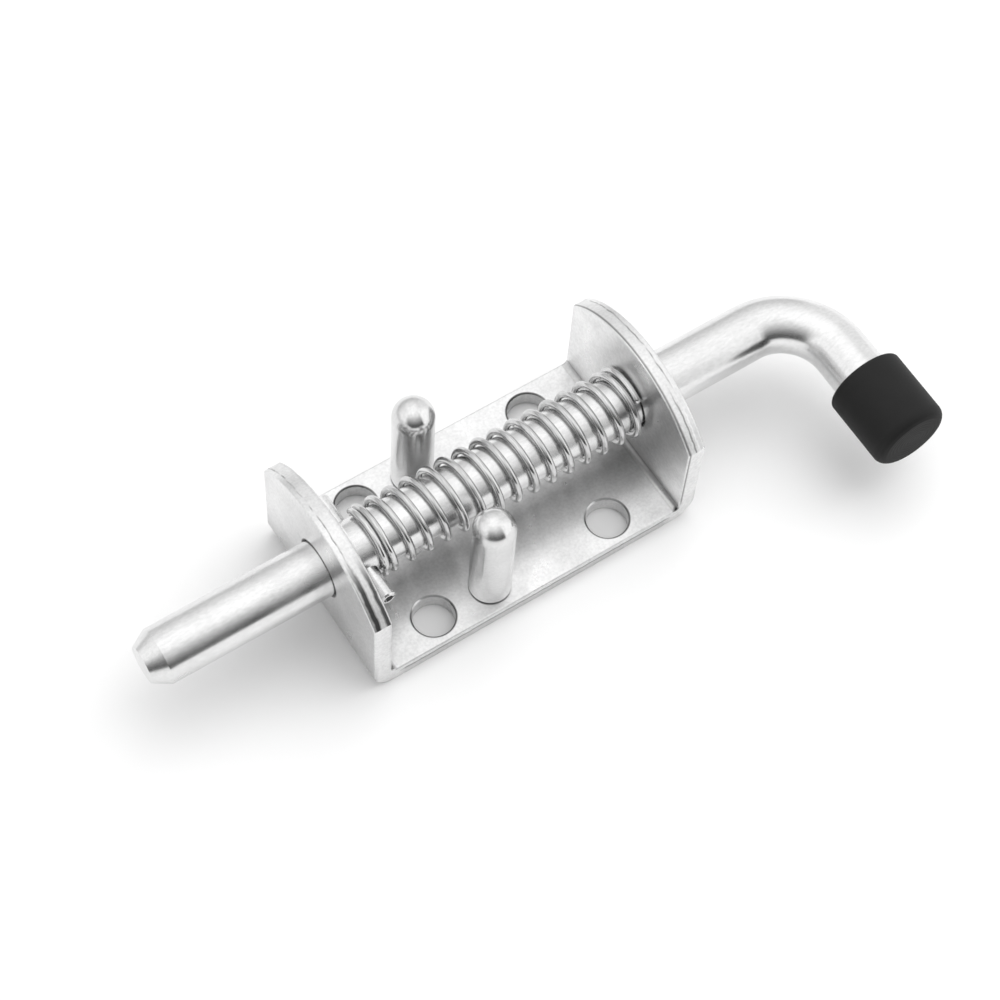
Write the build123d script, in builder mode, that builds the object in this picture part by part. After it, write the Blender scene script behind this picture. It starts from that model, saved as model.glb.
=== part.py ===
from build123d import *
from math import radians, tan
import os

# Driving dimensions in millimetres. X runs along the bolt towards the handle, Z stands up from
# the mounting face, and the origin is the middle of the four screw holes on that face.

# Bracket: plate folded up into two ears
bracket_length = 77.0
bracket_width = 41.5
sheet = 4.0
ear_height = 36.0
ear_shoulder = 26.0
bend_inside = 1.2
edge_round = 0.4
screw_end_margin = 17.5
screw_edge_margin = 6.0
screw_hole_diameter = 8.8
bore_clearance = 0.1
hole_edge_chamfer = 0.3

# Bolt: round bar with a tapered nose and a bent handle
bolt_diameter = 12.0
bolt_axis_height = 18.8
bolt_reach = 39.3
nose_length = 3.5
nose_inset = 2.0
handle_offset = 39.9
handle_bend = 14.0
handle_reach = 38.6
handle_end_chamfer = 1.0

# Cross pin: rolled spring pin through the bolt
pin_diameter = 3.5
pin_wall = 0.75
pin_length = 25.8
pin_slot = 0.6
pin_chamfer = 0.3

# Washer between the left ear and the cross pin
washer_diameter = 20.0
washer_thickness = 2.0
washer_clearance = 0.5
seat_clearance = 0.25

# Compression spring round the bolt, with closed ends
wire_diameter = 1.5
spring_clearance = 0.3
spring_end_clearance = 0.1
left_closed_turns = 1.25
active_turns = 14
right_closed_turns = 1
closed_gap = 0.05
wire_start_angle = 38.0

# Domed studs riveted through the plate
stud_diameter = 8.8
stud_height = 28.2
stud_setback = 30.9
stud_base_chamfer = 0.4
spigot_diameter = 6.0
rivet_head_diameter = 8.0
rivet_head_angle = 90.0

# Moulded cap on the handle
cap_diameter = 16.8
cap_length = 16.8
cap_end_wall = 2.2
cap_end_round = 2.2
cap_rim_round = 0.8

# Places worked out from the dimensions above
bolt_radius = bolt_diameter / 2
pin_radius = pin_diameter / 2
wire_radius = wire_diameter / 2
ear_outer = bracket_length / 2
ear_inner = ear_outer - sheet
half_width = bracket_width / 2
nose_x = -ear_outer - bolt_reach
handle_x = ear_outer + handle_offset
handle_end_y = -handle_reach + cap_end_wall
pin_x = -ear_inner + washer_thickness + seat_clearance + pin_radius
screw_spacing_x = bracket_length - 2 * screw_end_margin
screw_spacing_y = bracket_width - 2 * screw_edge_margin
stud_x = -ear_outer + stud_setback
stud_rows = {"stud_front": -screw_spacing_y / 2, "stud_back": screw_spacing_y / 2}


# The plate bent up at both ends, cut to an arched outline, then punched
with BuildPart() as bracket:
    with BuildSketch(Plane.XZ):
        with BuildLine():
            FilletPolyline(
                (-ear_outer, ear_height),
                (-ear_outer, 0),
                (ear_outer, 0),
                (ear_outer, ear_height),
                radius=bend_inside + sheet,
            )
            offset(amount=sheet, side=Side.LEFT)
        make_face()
    extrude(amount=half_width, both=True)
    with BuildSketch(Plane.YZ):
        with BuildLine():
            Polyline(
                (-half_width, ear_shoulder),
                (-half_width, 0),
                (half_width, 0),
                (half_width, ear_shoulder),
            )
            ThreePointArc(
                (half_width, ear_shoulder), (0, ear_height), (-half_width, ear_shoulder)
            )
        make_face()
    extrude(amount=ear_outer, both=True, mode=Mode.INTERSECT)
    fillet(edges().filter_by(Axis.Y, reverse=True), edge_round)
    with BuildSketch(Plane.YZ):
        with Locations((0, bolt_axis_height)):
            Circle(bolt_radius + bore_clearance)
    extrude(amount=ear_outer, both=True, mode=Mode.SUBTRACT)
    chamfer(edges(Select.LAST).filter_by(GeomType.CIRCLE), hole_edge_chamfer)
    with GridLocations(screw_spacing_x, screw_spacing_y, 2, 2):
        Hole(screw_hole_diameter / 2)
    chamfer(edges(Select.LAST).filter_by(GeomType.CIRCLE), hole_edge_chamfer)
    for y in stud_rows.values():
        with Locations(Location((stud_x, y, 0), (180, 0, 0))):
            CounterSinkHole(
                spigot_diameter / 2,
                rivet_head_diameter / 2,
                counter_sink_angle=rivet_head_angle,
            )

# Round bar bent through a right angle, with a tapered nose and a cross hole for the pin
with BuildPart() as bolt:
    with BuildLine() as bolt_path:
        FilletPolyline(
            (nose_x, 0, bolt_axis_height),
            (handle_x, 0, bolt_axis_height),
            (handle_x, handle_end_y, bolt_axis_height),
            radius=handle_bend,
        )
    with BuildSketch(Plane(bolt_path.line @ 0, z_dir=bolt_path.line % 0)):
        Circle(bolt_radius)
    sweep()
    nose = faces().sort_by(Axis.X)[0]
    chamfer(nose.edges(), nose_inset, nose_length, reference=nose)
    chamfer(faces().sort_by(Axis.Y)[0].edges(), handle_end_chamfer)
    with BuildSketch(Plane.XZ):
        with Locations((pin_x, bolt_axis_height)):
            Circle(pin_radius)
    extrude(amount=bolt_radius, both=True, mode=Mode.SUBTRACT)

# Strip rolled into a slotted tube, pressed through the bolt
with BuildPart() as cross_pin:
    with BuildSketch(Plane.XZ):
        with Locations((pin_x, bolt_axis_height)):
            Circle(pin_radius)
    extrude(amount=pin_length / 2, both=True)
    chamfer(edges(), pin_chamfer)
    with BuildSketch(Plane.XZ):
        with Locations((pin_x, bolt_axis_height)):
            Circle(pin_radius - pin_wall)
            with Locations((pin_radius / 2, 0)):
                Rectangle(pin_radius, pin_slot)
    extrude(amount=pin_length / 2, both=True, mode=Mode.SUBTRACT)

# Flat washer, seated on the left ear
with BuildPart() as stop_washer:
    with BuildSketch(Plane.YZ.offset(-ear_inner)):
        with Locations((0, bolt_axis_height)):
            Circle(washer_diameter / 2)
            Circle(bolt_radius + washer_clearance, mode=Mode.SUBTRACT)
    extrude(amount=washer_thickness)

# Coiled wire between the cross pin and the right ear: closed turns at each end and open ones
# between. The path is three helices, each turned to start where the one before it stopped. It is
# coiled upright, then laid on the bolt.
coil_radius = bolt_radius + spring_clearance + wire_radius
coil_start = pin_x + pin_radius + spring_end_clearance + wire_radius
coil_end = ear_inner - spring_end_clearance - wire_radius
closed_pitch = wire_diameter + closed_gap
closed_length = (left_closed_turns + right_closed_turns) * closed_pitch
open_pitch = (coil_end - coil_start - closed_length) / active_turns
stretches = [
    (left_closed_turns, closed_pitch),
    (active_turns, open_pitch),
    (right_closed_turns, closed_pitch),
]
with BuildPart() as coil:
    with BuildLine() as wire_path:
        height = 0
        turned = 0
        for turns, pitch in stretches:
            stretch = Helix(pitch, turns * pitch, coil_radius, mode=Mode.PRIVATE)
            add(Pos(0, 0, height) * Rot(0, 0, turned) * stretch)
            height += turns * pitch
            turned += turns * 360
    with BuildSketch(Plane(wire_path.line @ 0, z_dir=wire_path.line % 0)):
        Circle(wire_radius)
    sweep(is_frenet=True)
coil_base = Plane((coil_start, 0, bolt_axis_height), x_dir=(0, 1, 0), z_dir=(1, 0, 0))
spring = coil_base.location * Rot(0, 0, wire_start_angle) * coil.part


# Round stud with a domed top, its spigot riveted flush under the plate
def make_stud(y):
    stud_radius = stud_diameter / 2
    stud_top = sheet + stud_height
    spigot_radius = spigot_diameter / 2
    head_radius = rivet_head_diameter / 2
    head_depth = (head_radius - spigot_radius) / tan(radians(rivet_head_angle / 2))
    with BuildPart() as stud:
        with BuildSketch(Plane((stud_x, y, 0), x_dir=(1, 0, 0), z_dir=(0, -1, 0))):
            with BuildLine():
                Polyline(
                    (0, stud_top),
                    (0, 0),
                    (head_radius, 0),
                    (spigot_radius, head_depth),
                    (spigot_radius, sheet),
                    (stud_radius - stud_base_chamfer, sheet),
                    (stud_radius, sheet + stud_base_chamfer),
                    (stud_radius, stud_top - stud_radius),
                )
                RadiusArc((stud_radius, stud_top - stud_radius), (0, stud_top), -stud_radius)
            make_face()
        revolve(axis=Axis((stud_x, y, 0), (0, 0, 1)))
    return stud.part


# Moulded cap pushed over the end of the handle
with BuildPart() as handle_cap:
    with BuildSketch(Plane.XZ.offset(handle_reach)):
        with Locations((handle_x, bolt_axis_height)):
            Circle(cap_diameter / 2)
    extrude(amount=-cap_length)
    fillet(faces().sort_by(Axis.Y)[0].edges(), cap_end_round)
    fillet(faces().sort_by(Axis.Y)[-1].edges(), cap_rim_round)
    with BuildSketch(Plane.XZ.offset(-handle_end_y)):
        with Locations((handle_x, bolt_axis_height)):
            Circle(bolt_radius)
    extrude(amount=-cap_length, mode=Mode.SUBTRACT)

pieces = {
    "bracket": bracket.part,
    "bolt": bolt.part,
    "cross_pin": cross_pin.part,
    "stop_washer": stop_washer.part,
    "spring": spring,
    "handle_cap": handle_cap.part,
}
for name, y in stud_rows.items():
    pieces[name] = make_stud(y)

os.makedirs("parts", exist_ok=True)
for name, piece in pieces.items():
    piece.label = name
    export_step(piece, f"parts/{name}.step")
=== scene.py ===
import bmesh
import bpy
import math
from mathutils import Matrix, Vector


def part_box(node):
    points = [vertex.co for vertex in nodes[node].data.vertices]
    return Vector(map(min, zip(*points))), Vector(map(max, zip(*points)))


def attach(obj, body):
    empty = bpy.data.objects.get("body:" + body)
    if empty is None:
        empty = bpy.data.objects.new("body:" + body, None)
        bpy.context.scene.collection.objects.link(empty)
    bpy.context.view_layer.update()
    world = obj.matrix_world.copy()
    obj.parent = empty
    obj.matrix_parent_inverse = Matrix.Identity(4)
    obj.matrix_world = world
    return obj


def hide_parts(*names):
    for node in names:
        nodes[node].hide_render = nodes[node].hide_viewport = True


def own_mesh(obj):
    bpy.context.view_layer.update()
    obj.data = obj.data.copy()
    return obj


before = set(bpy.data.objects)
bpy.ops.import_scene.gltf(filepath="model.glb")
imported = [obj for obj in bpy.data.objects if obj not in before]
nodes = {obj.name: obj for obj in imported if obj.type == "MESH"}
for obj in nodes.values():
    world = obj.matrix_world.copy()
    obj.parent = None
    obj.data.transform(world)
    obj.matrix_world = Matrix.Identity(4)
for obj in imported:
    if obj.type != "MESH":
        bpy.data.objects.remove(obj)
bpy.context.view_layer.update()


# Bracket. A strip of 4 mm steel plate, punched, folded up at both ends and then zinc plated. The plating
# leaves a pale satin skin, the cut faces show how the steel sheared and tore, and the folds, bores, screw
# holes and cut lines carry painted shade and painted reflection where they look dull or dark.
def linear(hex_colour):
    channels = [int(hex_colour[i:i + 2], 16) / 255 for i in (1, 3, 5)]
    return [c / 12.92 if c <= 0.04045 else ((c + 0.055) / 1.055) ** 2.4 for c in channels] + [1]


def add(tree, kind, inputs=None, **settings):
    new = tree.nodes.new("ShaderNode" + kind)
    for name, value in settings.items():
        setattr(new, name, value)
    for name, value in (inputs or {}).items():
        if isinstance(value, bpy.types.NodeSocket):
            tree.links.new(value, new.inputs[name])
        else:
            new.inputs[name].default_value = value
    return new


def new_material(name):
    material = bpy.data.materials.new(name)
    material.use_nodes = True
    tree = material.node_tree
    tree.nodes.clear()
    shader = add(tree, "BsdfPrincipled")
    add(tree, "OutputMaterial", {"Surface": shader.outputs["BSDF"]})
    return material, tree, shader


def show(name, material):
    nodes[name].data.materials.clear()
    nodes[name].data.materials.append(material)


mm = 0.001
cloud_size = 6 * mm
crystal_size = 0.6 * mm
gloss_change = 0.04


# Zinc plating. It has broad pale and dull clouds, a fine mottle, and a faint ripple in its gloss.
# The real crystals are too fine to show, so they are drawn 0.6 mm across.
def zinc_skin(tree, shader, pale, dull, roughness, ripple_size, ripple_depth, stretch=(1, 1, 1)):
    place = add(tree, "TexCoord").outputs["Object"]
    drawn = add(tree, "Mapping", {"Vector": place, "Scale": stretch}).outputs[0]
    cloud = add(tree, "TexNoise", {"Vector": drawn, "Scale": 1 / cloud_size, "Detail": 2}).outputs[0]
    crystal = add(tree, "TexNoise", {"Vector": drawn, "Scale": 1 / crystal_size, "Detail": 4}).outputs[0]
    both = add(tree, "Mix", {"Factor": 0.6, "A": cloud, "B": crystal}, data_type="FLOAT").outputs[0]
    patch = add(tree, "MapRange", {"Value": both, "From Min": 0.35, "From Max": 0.65}).outputs[0]
    colour = add(
        tree,
        "Mix",
        {"Factor": patch, 6: linear(dull), 7: linear(pale)},
        data_type="RGBA",
    ).outputs[2]
    satin = add(
        tree,
        "MapRange",
        {
            "Value": cloud,
            "From Min": 0.3,
            "From Max": 0.7,
            "To Min": roughness + gloss_change,
            "To Max": roughness - gloss_change,
        },
    ).outputs[0]
    ripple = add(tree, "TexNoise", {"Vector": drawn, "Scale": 1 / ripple_size, "Detail": 2}).outputs[0]
    bump = add(tree, "Bump", {"Height": ripple, "Distance": ripple_depth}).outputs[0]
    tree.links.new(colour, shader.inputs["Base Color"])
    tree.links.new(satin, shader.inputs["Roughness"])
    tree.links.new(bump, shader.inputs["Normal"])
    shader.inputs["Metallic"].default_value = 1
    return place, colour, satin, bump


sheet = 4 * mm
bend_radius = 5.2 * mm
bracket_high = Vector(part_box("bracket")[1])
ear_outer = bracket_high.x
half_width = bracket_high.y
fold_start = ear_outer - bend_radius
bolt_height = 18.8 * mm
bolt_radius = 6 * mm
hole_x = 21 * mm
hole_y = 14.75 * mm
torn_roughness = 0.42

plated_sheet, tree, shader = new_material("zinc_plated_sheet")
place, skin, satin, bump = zinc_skin(
    tree,
    shader,
    pale="#EEEEEE",
    dull="#DADADA",
    roughness=0.31,
    ripple_size=2.2 * mm,
    ripple_depth=0.006 * mm,
)

# How deep a point lies under the outer face of the folded sheet, measured round the middle of the
# bend where the sheet is folded, whether it is on a cut face, and whether that is an ear's arch
x, y, z = add(tree, "SeparateXYZ", {"Vector": place}).outputs
side = add(tree, "Math", {0: x}, operation="SIGN").outputs[0]
reach = add(tree, "Math", {0: x}, operation="ABSOLUTE").outputs[0]
across = add(tree, "Math", {0: y}, operation="ABSOLUTE").outputs[0]
outwards = add(tree, "Math", {0: reach, 1: fold_start}, operation="SUBTRACT").outputs[0]
outwards = add(tree, "Math", {0: outwards, 1: 0}, operation="MAXIMUM").outputs[0]
outwards = add(tree, "Math", {0: outwards, 1: side}, operation="MULTIPLY").outputs[0]
down = add(tree, "Math", {0: z, 1: bend_radius}, operation="SUBTRACT").outputs[0]
down = add(tree, "Math", {0: down, 1: 0}, operation="MINIMUM").outputs[0]
to_face = add(tree, "CombineXYZ", {"X": outwards, "Z": down}).outputs[0]
from_middle = add(tree, "VectorMath", {0: to_face}, operation="LENGTH").outputs["Value"]
depth = add(tree, "Math", {0: bend_radius, 1: from_middle}, operation="SUBTRACT").outputs[0]
facing = add(tree, "VectorMath", {0: to_face}, operation="NORMALIZE").outputs[0]
surface = add(tree, "TexCoord").outputs["Normal"]
square_on = add(tree, "VectorMath", {0: facing, 1: surface}, operation="DOT_PRODUCT").outputs["Value"]
square_on = add(tree, "Math", {0: square_on}, operation="ABSOLUTE").outputs[0]
cut = add(tree, "MapRange", {"Value": square_on, "From Min": 0.5, "From Max": 0.2}).outputs[0]
upwards = add(tree, "SeparateXYZ", {"Vector": surface}).outputs["Z"]
arch = add(tree, "MapRange", {"Value": upwards, "From Min": 0.3, "From Max": 0.5}).outputs[0]

# The cut face of each arch has a wavering, broken dark line of painted shade and painted reflection along
# the step where the shear turned into a tear. The front end of each was cut last, and looks different.
waver = add(tree, "TexNoise", {"Vector": place, "Scale": 1 / (3 * mm), "Detail": 3}).outputs[0]
waver = add(tree, "MapRange", {"Value": waver, "To Min": -0.4 * mm, "To Max": 0.4 * mm}).outputs[0]
wavy_depth = add(tree, "Math", {0: depth, 1: waver}, operation="ADD").outputs[0]
through = add(tree, "Math", {0: wavy_depth, 1: sheet}, operation="DIVIDE").outputs[0]
broken = add(tree, "TexNoise", {"Vector": place, "Scale": 1 / (2.4 * mm), "Detail": 4}).outputs[0]
broken = add(tree, "MapRange", {"Value": broken, "From Min": 0.35, "From Max": 0.6}).outputs[0]
front_end = add(
    tree,
    "MapRange",
    {"Value": y, "From Min": -7 * mm, "From Max": -15 * mm},
    interpolation_type="SMOOTHSTEP",
).outputs[0]
behind = add(tree, "Math", {0: 1, 1: front_end}, operation="SUBTRACT").outputs[0]

# Along the plate the tear is below and duller, with a dark line of painted shade where it starts
up_edge = add(tree, "Math", {0: z, 1: waver}, operation="ADD").outputs[0]
up_edge = add(tree, "Math", {0: up_edge, 1: sheet}, operation="DIVIDE").outputs[0]
along_plate = add(tree, "MapRange", {"Value": reach, "From Min": 33 * mm, "From Max": 31 * mm}).outputs[0]
at_edge = add(
    tree,
    "MapRange",
    {"Value": across, "From Min": half_width - 0.95 * mm, "From Max": half_width - 0.55 * mm},
).outputs[0]

# Punched screw holes have a slightly darker wall and a dark rim, both painted shade, fainter on the side
# towards the bolt
rim_reach = 10 * mm
from_hole_x = add(tree, "Math", {0: reach, 1: hole_x}, operation="SUBTRACT").outputs[0]
from_hole_y = add(tree, "Math", {0: across, 1: hole_y}, operation="SUBTRACT").outputs[0]
from_hole = add(tree, "CombineXYZ", {"X": from_hole_x, "Y": from_hole_y}).outputs[0]
from_hole = add(tree, "VectorMath", {0: from_hole}, operation="LENGTH").outputs["Value"]
from_hole = add(tree, "Math", {0: from_hole, 1: rim_reach}, operation="DIVIDE").outputs[0]
rim_side = add(
    tree,
    "MapRange",
    {"Value": from_hole_y, "From Min": -3.5 * mm, "From Max": -2 * mm, "To Min": 0.3, "To Max": 1},
).outputs[0]

# The greys across each cut and rim, at shares of the sheet's thickness or of the rim's reach. The front
# end of the left arch is hollowed by the die, drawn as two strips of painted dark reflection along it,
# and that of the right one has a single thin line of painted shade.
lines = []
for share, stops in (
    (through, ((0.24, "#FFFFFF"), (0.30, "#929292"), (0.36, "#FFFFFF"))),
    (
        through,
        (
            (0.08, "#FFFFFF"),
            (0.17, "#666666"),
            (0.34, "#666666"),
            (0.45, "#FFFFFF"),
            (0.64, "#FFFFFF"),
            (0.75, "#727272"),
            (0.86, "#727272"),
            (0.96, "#FFFFFF"),
        ),
    ),
    (through, ((0.46, "#FFFFFF"), (0.53, "#9A9A9A"), (0.60, "#FFFFFF"))),
    (up_edge, ((0.50, "#ECECEC"), (0.60, "#969696"), (0.70, "#FFFFFF"))),
    (from_hole, ((0.440, "#F4F4F4"), (0.446, "#A0A0A0"), (0.474, "#A0A0A0"), (0.490, "#FFFFFF"))),
):
    ramp = add(tree, "ValToRGB", {"Fac": share})
    elements = ramp.color_ramp.elements
    while len(elements) < len(stops):
        elements.new(1)
    for element, (position, grey) in zip(elements, stops):
        element.position = position
        element.color = linear(grey)
    lines.append(ramp.outputs["Color"])
shear_line_shade, left_reflection_strips, right_shade_line, edge_line_shade, rim = lines
right_side = add(tree, "MapRange", {"Value": side, "From Min": -1}).outputs[0]
front_reflection_marks = add(
    tree,
    "Mix",
    {"Factor": right_side, 6: left_reflection_strips, 7: right_shade_line},
    data_type="RGBA",
).outputs[2]

# The burr along the inner edge of the ears' cut faces casts a painted shadow there, darkest on the right
# one
burr_shadow = add(
    tree,
    "MapRange",
    {"Value": depth, "From Min": sheet - 0.8 * mm, "From Max": sheet - 0.5 * mm},
).outputs[0]
burr_side = add(tree, "MapRange", {"Value": side, "From Min": -1, "To Min": 0.15, "To Max": 1}).outputs[0]
above_fold = add(tree, "MapRange", {"Value": z, "From Min": 5 * mm, "From Max": 7 * mm}).outputs[0]

# The inside of each fold is painted darker along its crease as shade, a small gap at the front end of the
# right one is painted dark as shade, and the outside is painted a little darker low down, as shade
crease_x = add(
    tree,
    "MapRange",
    {"Value": reach, "From Min": fold_start - 0.2 * mm, "From Max": fold_start + 0.1 * mm},
).outputs[0]
crease_z = add(
    tree,
    "MapRange",
    {"Value": z, "From Min": bend_radius + 0.3 * mm, "From Max": bend_radius},
).outputs[0]
inside = add(
    tree,
    "MapRange",
    {"Value": depth, "From Min": sheet - 0.3 * mm, "From Max": sheet - 0.1 * mm},
).outputs[0]
# A small gap at the front end of the right fold is painted dark, as shade
notch_shade_place = (34.0 * mm, -20.7 * mm, 4.4 * mm)
painted_notch_shade = add(tree, "VectorMath", {0: place, 1: notch_shade_place}, operation="DISTANCE").outputs["Value"]
painted_notch_shade = add(tree, "MapRange", {"Value": painted_notch_shade, "From Min": 0.9 * mm, "From Max": 0.3 * mm}).outputs[0]
# The ears' outer faces are painted darker towards the bottom, as shade
painted_low_shade = add(tree, "MapRange", {"Value": z, "From Min": 14 * mm, "From Max": 4 * mm}).outputs[0]
outside = add(
    tree,
    "MapRange",
    {"Value": reach, "From Min": ear_outer - 0.9 * mm, "From Max": ear_outer - 0.3 * mm},
).outputs[0]

# The chamfer of each bore is painted dark, as shade in the gap round the bolt
from_bolt = add(tree, "VectorMath", {0: place, 1: (0, 0, bolt_height)}, operation="SUBTRACT").outputs[0]
from_bolt = add(tree, "VectorMath", {0: from_bolt, 1: (0, 1, 1)}, operation="MULTIPLY").outputs[0]
from_bolt = add(tree, "VectorMath", {0: from_bolt}, operation="LENGTH").outputs["Value"]
painted_gap_shade = add(
    tree,
    "MapRange",
    {"Value": from_bolt, "From Min": bolt_radius + 0.7 * mm, "From Max": bolt_radius + 0.4 * mm},
).outputs[0]

# Each mark darkens the skin where all of its masks meet
for masks, mark in (
    ((broken, cut, arch, behind), shear_line_shade),
    ((front_end, arch, cut), front_reflection_marks),
    ((burr_shadow, burr_side, above_fold, cut), linear("#A6A6A6")),
    ((crease_x, crease_z, inside), linear("#D8D8D8")),
    ((painted_notch_shade,), linear("#505050")),
    ((painted_low_shade, outside), linear("#DEDEDE")),
    ((along_plate, at_edge, cut), edge_line_shade),
    ((painted_gap_shade,), linear("#6A6A6A")),
    ((rim_side,), rim),
):
    where = masks[0]
    for mask in masks[1:]:
        where = add(tree, "Math", {0: where, 1: mask}, operation="MULTIPLY").outputs[0]
    skin = add(
        tree,
        "Mix",
        {"Factor": where, 6: skin, 7: mark},
        data_type="RGBA",
        blend_type="MULTIPLY",
    ).outputs[2]
tree.links.new(skin, shader.inputs["Base Color"])

# The torn part of a cut face is rougher, with a grit drawn 0.5 mm across so that it shows
tear = add(tree, "MapRange", {"Value": wavy_depth, "From Min": 1.1 * mm, "From Max": 1.5 * mm}).outputs[0]
torn = add(tree, "Math", {0: tear, 1: cut}, operation="MULTIPLY").outputs[0]
coarse = add(tree, "Mix", {"Factor": torn, "A": satin, "B": torn_roughness}, data_type="FLOAT").outputs[0]
tree.links.new(coarse, shader.inputs["Roughness"])
grit = add(tree, "TexNoise", {"Vector": place, "Scale": 1 / (0.5 * mm), "Detail": 3}).outputs[0]
grit = add(tree, "Math", {0: grit, 1: torn}, operation="MULTIPLY").outputs[0]
grit_bump = add(tree, "Bump", {"Height": grit, "Distance": 0.05 * mm, "Normal": bump}).outputs[0]
tree.links.new(grit_bump, shader.inputs["Normal"])
show("bracket", plated_sheet)

# Studs. Two lengths of 8.8 mm round bar with a domed end, riveted through the plate before plating, so
# they have the same zinc skin over the lines that the lathe left, and a dark ring of painted contact
# shadow where they meet the plate.
turned_bar, tree, shader = new_material("zinc_plated_turned_bar")
place, skin = zinc_skin(
    tree,
    shader,
    pale="#E2E2E2",
    dull="#D4D4D4",
    roughness=0.22,
    ripple_size=1.8 * mm,
    ripple_depth=0.010 * mm,
)[:2]
# A painted contact shadow darkens the bar just above the plate
z = add(tree, "SeparateXYZ", {"Vector": place}).outputs["Z"]
painted_base_shadow = add(
    tree,
    "MapRange",
    {"Value": z, "From Min": sheet + 0.6 * mm, "From Max": sheet + 0.3 * mm},
).outputs[0]
ringed = add(
    tree,
    "Mix",
    {"Factor": painted_base_shadow, 6: skin, 7: linear("#5A5A5A")},
    data_type="RGBA",
    blend_type="MULTIPLY",
).outputs[2]
tree.links.new(ringed, shader.inputs["Base Color"])
for name in ("stud_front", "stud_back"):
    show(name, turned_bar)

# Bolt. Cold drawn 12 mm round bar, turned to a taper at the nose, cross drilled and bent cold,
# then plated bright, so it mirrors its surroundings with a faint ripple along its length.
drawn_bar, tree, shader = new_material("zinc_plated_drawn_bar")
zinc_skin(
    tree,
    shader,
    pale="#E8E8E8",
    dull="#DADADA",
    roughness=0.24,
    ripple_size=2.0 * mm,
    ripple_depth=0.010 * mm,
    stretch=(0.45, 1, 1),
)
show("bolt", drawn_bar)

# Cross pin and stop washer. The pin is a rolled spring steel strip pressed through the bolt, and
# the washer is punched from sheet. Both are plated and a little duller than the bar.
small_steel, tree, shader = new_material("zinc_plated_small_steel")
zinc_skin(
    tree,
    shader,
    pale="#E6E6E6",
    dull="#D4D4D4",
    roughness=0.24,
    ripple_size=0.9 * mm,
    ripple_depth=0.008 * mm,
)
for name in ("cross_pin", "stop_washer"):
    show(name, small_steel)

# Spring. Hard drawn 1.5 mm steel wire coiled on a mandrel, with its end turns closed up. It is
# bright, and shows fine lines along the wire from the drawing die, which are the zinc's ripple
# stretched along the wire.
wire_radius = 0.75 * mm
closed_gap = 0.05 * mm
left_closed_turns = 1.25
open_turns = 14
right_closed_turns = 1
wire_start_angle = math.radians(38)
steps_a_turn = 56
wire_sides = 18
spring_low, spring_high = (Vector(corner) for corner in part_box("spring"))
coil_radius = (spring_high.z - spring_low.z) / 2 - wire_radius
coil_axis = Vector((0, 0, (spring_high.z + spring_low.z) / 2))
coil_room = spring_high.x - spring_low.x
closed_pitch = 2 * wire_radius + closed_gap
closed_length = (left_closed_turns + right_closed_turns) * closed_pitch
open_pitch = (coil_room - 2 * wire_radius - closed_length) / open_turns
stretches = (
    (left_closed_turns, closed_pitch),
    (open_turns, open_pitch),
    (right_closed_turns, closed_pitch),
)

bm = bmesh.new()
along = Vector((1, 0, 0))
outwards = Vector((0, math.cos(wire_start_angle), math.sin(wire_start_angle)))
wire_start = coil_axis + along * (spring_low.x + wire_radius) + outwards * coil_radius
section = Matrix((along, outwards, along.cross(outwards))).transposed()
bmesh.ops.create_circle(
    bm,
    segments=wire_sides,
    radius=wire_radius,
    matrix=Matrix.Translation(wire_start) @ section.to_4x4(),
)
first_loop = list(bm.edges)
tip = first_loop
for turns, pitch in stretches:
    wound = bmesh.ops.spin(
        bm,
        geom=tip,
        cent=coil_axis,
        axis=along,
        dvec=along * (pitch / steps_a_turn),
        angle=2 * math.pi * turns,
        steps=round(steps_a_turn * turns),
    )
    tip = [part for part in wound["geom_last"] if isinstance(part, bmesh.types.BMEdge)]
for face in bm.faces:
    face.smooth = True
for loop in (first_loop, tip):
    bmesh.ops.contextual_create(bm, geom=loop)
bmesh.ops.recalc_face_normals(bm, faces=bm.faces)

# The spin makes the same points and faces each time but in no fixed order, so they are sorted
points = sorted(bm.verts, key=lambda vert: vert.co[:])
faces = sorted(bm.faces, key=lambda face: face.calc_center_median()[:])
for parts, in_order in ((bm.verts, points), (bm.faces, faces)):
    rank = {part: number for number, part in enumerate(in_order)}
    parts.sort(key=rank.get)
mesh = bpy.data.meshes.new("coiled_spring")
bm.to_mesh(mesh)
bm.free()
coiled_spring = bpy.data.objects.new("coiled_spring", mesh)
bpy.context.scene.collection.objects.link(coiled_spring)

spring_wire, tree, shader = new_material("drawn_spring_wire")
zinc_skin(
    tree,
    shader,
    pale="#DCDCDC",
    dull="#B8B8B8",
    roughness=0.17,
    ripple_size=0.5 * mm,
    ripple_depth=0.004 * mm,
    stretch=(4, 0.3, 0.3),
)
mesh.materials.append(spring_wire)
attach(coiled_spring, "bracket")
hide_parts("spring")
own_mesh(coiled_spring)

# Handle cap. Soft black PVC, dip moulded and pushed over the end of the bar. It is matte, with faint
# rings round its end, and a grain drawn 0.5 mm across so that it shows. The end is painted darker, as
# shade.
grain_size = 0.5 * mm
worn_size = 4 * mm
ring_pitch = 0.9 * mm
soft_cap, tree, shader = new_material("black_moulded_pvc")
shader.inputs["Specular IOR Level"].default_value = 0.18
cap_low, cap_high = (Vector(corner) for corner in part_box("handle_cap"))
cap_middle = (cap_low + cap_high) / 2
place = add(tree, "TexCoord").outputs["Object"]
grain = add(tree, "TexNoise", {"Vector": place, "Scale": 1 / grain_size, "Detail": 3}).outputs[0]
worn = add(tree, "TexNoise", {"Vector": place, "Scale": 1 / worn_size, "Detail": 2}).outputs[0]
shade = add(
    tree,
    "Mix",
    {"Factor": worn, 6: linear("#1A1A1A"), 7: linear("#222222")},
    data_type="RGBA",
).outputs[2]
dull = add(tree, "MapRange", {"Value": worn, "To Min": 0.55, "To Max": 0.68}).outputs[0]
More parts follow.
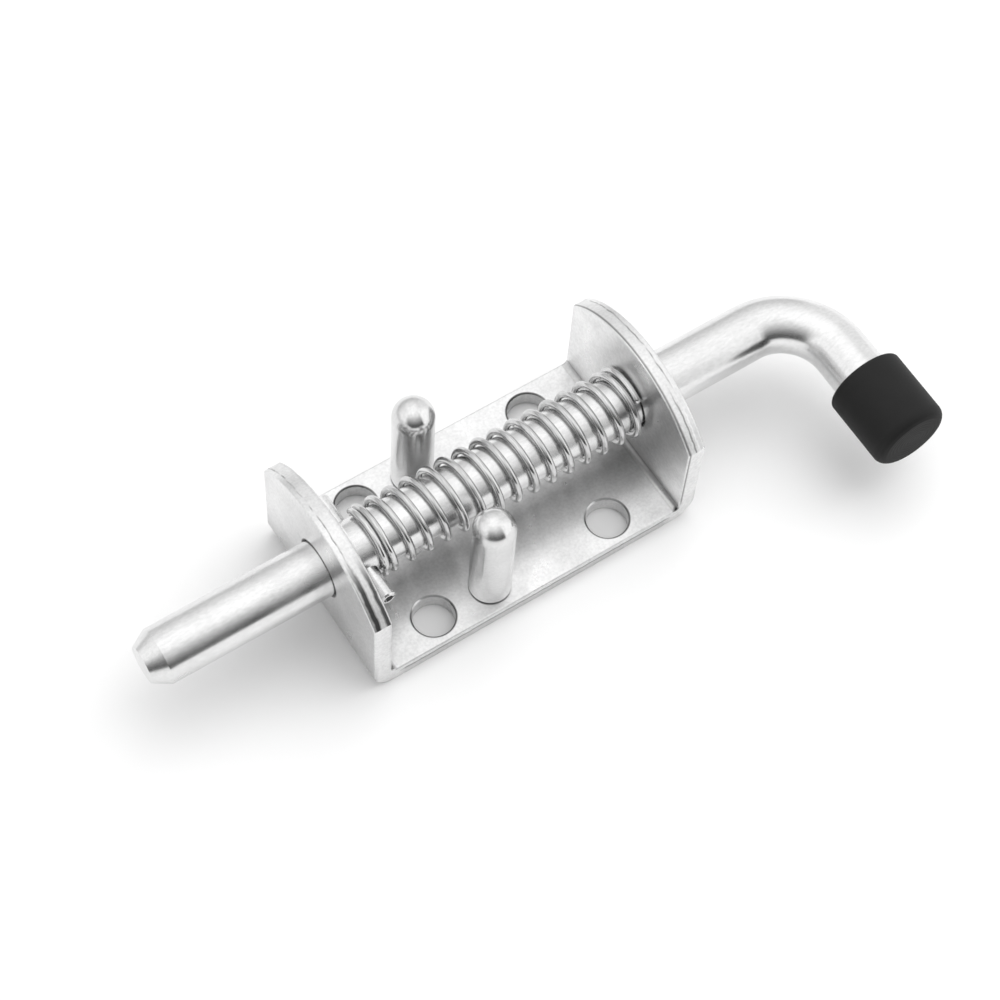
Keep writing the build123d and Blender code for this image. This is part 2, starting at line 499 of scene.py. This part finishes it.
y = add(tree, "SeparateXYZ", {"Vector": place}).outputs["Y"]
# The end face is painted darker, as shade on the side towards the dim front
cap_end_shade = add(
    tree,
    "MapRange",
    {"Value": y, "From Min": cap_low.y + 1.0 * mm, "From Max": cap_low.y},
).outputs[0]
shade = add(
    tree,
    "Mix",
    {"Factor": cap_end_shade, 6: shade, 7: linear("#A8A8A8")},
    data_type="RGBA",
    blend_type="MULTIPLY",
).outputs[2]
centred = add(tree, "VectorMath", {0: place, 1: cap_middle}, operation="SUBTRACT").outputs[0]
outwards = add(tree, "VectorMath", {0: centred, 1: (1, 0, 1)}, operation="MULTIPLY").outputs[0]
outwards = add(tree, "VectorMath", {0: outwards}, operation="LENGTH").outputs["Value"]
rings = add(tree, "Math", {0: outwards, 1: 2 * math.pi / ring_pitch}, operation="MULTIPLY").outputs[0]
rings = add(tree, "Math", {0: rings}, operation="SINE").outputs[0]
ringed = add(tree, "Bump", {"Height": rings, "Distance": 0.012 * mm}).outputs[0]
bump = add(tree, "Bump", {"Height": grain, "Distance": 0.02 * mm, "Normal": ringed}).outputs[0]
tree.links.new(shade, shader.inputs["Base Color"])
tree.links.new(dull, shader.inputs["Roughness"])
tree.links.new(bump, shader.inputs["Normal"])
show("handle_cap", soft_cap)

# Floor. A sheet of plain white card under the latch, pale in the picture and in reflections, with
# the latch's own soft shadow on it. It reaches 8 metres each way, far past the latch.
floor_reach = 8
bm = bmesh.new()
bmesh.ops.create_grid(bm, x_segments=1, y_segments=1, size=floor_reach)
mesh = bpy.data.meshes.new("floor")
bm.to_mesh(mesh)
bm.free()
floor = bpy.data.objects.new("floor", mesh)
bpy.context.scene.collection.objects.link(floor)
card, tree, shader = new_material("white_card")
shader.inputs["Base Color"].default_value = linear("#E8E8E8")
shader.inputs["Roughness"].default_value = 0.9
shader.inputs["Specular IOR Level"].default_value = 0
mesh.materials.append(card)

# Light. A pale room, brightest overhead. Its front half is darker low down, with a darker patch
# that draws the line along the bar. A bright window is on the right, and the wall on the left is
# dim low down. One large soft box above the handle's side casts the shadow.
scene = bpy.context.scene
room = bpy.data.worlds.new("pale_room")
scene.world = room
room.use_nodes = True
tree = room.node_tree
tree.nodes.clear()
way = add(tree, "TexCoord").outputs["Generated"]
x, y, z = add(tree, "SeparateXYZ", {"Vector": way}).outputs
height = add(tree, "MapRange", {"Value": z}).outputs[0]
gentle = add(tree, "Math", {0: height, 1: 1.5}, operation="POWER").outputs[0]
steep = add(tree, "Math", {0: height, 1: 2.2}, operation="POWER").outputs[0]
back = add(tree, "MapRange", {"Value": gentle, "To Min": 0.64, "To Max": 1.4}).outputs[0]
front = add(tree, "MapRange", {"Value": steep, "To Min": 0.05, "To Max": 1.32}).outputs[0]
patch = 1
for axis, edge, full in ((x, 0.13, 0.19), (x, 0.32, 0.27), (z, 0.5, 0.25)):
    fade = add(
        tree,
        "MapRange",
        {"Value": axis, "From Min": edge, "From Max": full},
        interpolation_type="SMOOTHSTEP",
    ).outputs[0]
    patch = add(tree, "Math", {0: patch, 1: fade}, operation="MULTIPLY").outputs[0]
patch = add(tree, "MapRange", {"Value": patch, "To Min": 1, "To Max": 0.45}).outputs[0]
front = add(tree, "Math", {0: front, 1: patch}, operation="MULTIPLY").outputs[0]
window = add(
    tree,
    "MapRange",
    {"Value": y, "From Min": 0.2, "From Max": -0.2, "To Min": 1, "To Max": 1.3},
).outputs[0]
wall = add(
    tree,
    "MapRange",
    {"Value": z, "From Min": 0, "From Max": 0.4, "To Min": 0.6, "To Max": 1.2},
).outputs[0]

# The window's edge slants towards the back of the room, and the wall's towards the front
slant_back = add(tree, "Math", {0: y, 1: 0}, operation="MAXIMUM").outputs[0]
slant_back = add(tree, "Math", {0: slant_back, 1: 0.6}, operation="MULTIPLY").outputs[0]
rightwards = add(tree, "Math", {0: x, 1: slant_back}, operation="SUBTRACT").outputs[0]
slant_front = add(tree, "Math", {0: y, 1: 0}, operation="MINIMUM").outputs[0]
slant_front = add(tree, "Math", {0: slant_front, 1: 0.8}, operation="MULTIPLY").outputs[0]
leftwards = add(tree, "Math", {0: x, 1: slant_front}, operation="SUBTRACT").outputs[0]
glow = back
for towards, edge, full, strength in (
    (y, 0.2, -0.4, front),
    (rightwards, 0.31, 0.37, window),
    (leftwards, -0.4, -0.8, wall),
):
    fade = add(
        tree,
        "MapRange",
        {"Value": towards, "From Min": edge, "From Max": full},
        interpolation_type="SMOOTHSTEP",
    ).outputs[0]
    glow = add(tree, "Mix", {"Factor": fade, "A": glow, "B": strength}, data_type="FLOAT").outputs[0]
sky = add(tree, "Background", {"Color": linear("#FFFFFF"), "Strength": glow})
add(tree, "OutputWorld", {"Surface": sky.outputs["Background"]})

box_centre = Vector((0.40, 0.12, 0.85))
box_light = bpy.data.lights.new("soft_box", "AREA")
box_light.shape = "SQUARE"
box_light.size = 1.0
box_light.energy = 5.2
soft_box = bpy.data.objects.new("soft_box", box_light)
soft_box.location = box_centre
soft_box.rotation_euler = (-box_centre).to_track_quat("-Z", "Y").to_euler()
soft_box.visible_glossy = False
scene.collection.objects.link(soft_box)

# Camera. It stands in front and to the left, looks down steeply and leans a little to one side.
# Its place, aim, lean and lens were fitted to the edges of the latch in the photograph.
camera_place = Vector((-150.9, -202.8, 479.3)) * mm
camera_aim = Vector((-0.2, -6.0, 18.8)) * mm
lean = math.radians(5.0)
camera_data = bpy.data.cameras.new("camera")
camera_data.sensor_width = 36
camera_data.lens = 94.87
camera = bpy.data.objects.new("camera", camera_data)
camera.location = camera_place
turn = (camera_aim - camera_place).to_track_quat("-Z", "Y").to_matrix() @ Matrix.Rotation(lean, 3, "Z")
camera.rotation_euler = turn.to_euler()
scene.collection.objects.link(camera)
scene.camera = camera
scene.view_settings.view_transform = "Standard"
